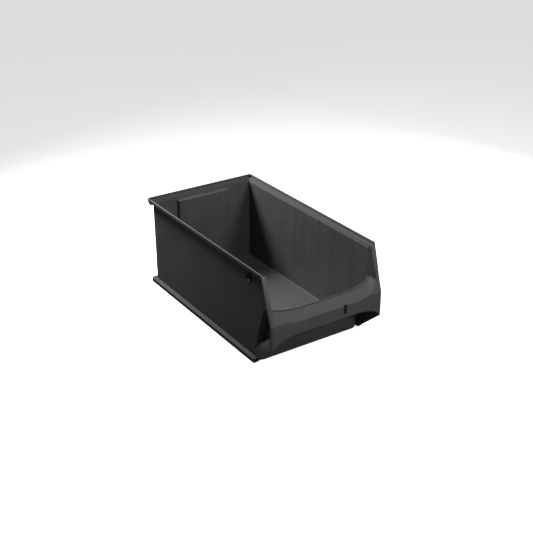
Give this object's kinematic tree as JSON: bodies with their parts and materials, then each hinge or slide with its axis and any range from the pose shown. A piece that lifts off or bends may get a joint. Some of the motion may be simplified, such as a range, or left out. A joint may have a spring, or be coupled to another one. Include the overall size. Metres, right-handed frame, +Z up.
{
  "type": "stacking storage bin",
  "caption": "Open-topped stacking bin with a low sloping front lip, finger-grip skirt, stacking rim and a rear hanging recess, in dark moulded plastic.",
  "frame": {"origin": "middle of the bin's footprint, on the surface that it stands on", "axes": "+X to the bin's right seen from its open front, +Y from the front lip to the back wall, +Z up"},
  "size_m": [0.2, 0.36, 0.15],
  "materials": {
    "body_pp": "satin moulded polypropylene, anthracite black",
    "rim_pp": "satin moulded polypropylene, edges slightly polished by stacking",
    "floor_pp": "satin moulded polypropylene with faint circular scuffs"
  },
  "bodies": {
    "root": {"floor_pan": "floor_pp", "front_wall": "body_pp", "side_wall_left": "body_pp", "side_wall_right": "body_pp", "back_wall_left": "body_pp", "back_wall_right": "body_pp", "hanging_panel": "body_pp", "rim_left": "rim_pp", "rim_right": "rim_pp", "rim_back": "rim_pp", "front_lip": "rim_pp", "front_skirt": "body_pp", "front_flange_left": "body_pp", "front_flange_right": "body_pp", "side_plate_left": "body_pp", "side_plate_right": "body_pp", "runner_left": "rim_pp", "runner_right": "rim_pp", "runner_back": "rim_pp", "rod_boss_left": "body_pp", "rod_boss_right": "body_pp"}
  },
  "joints": []
}
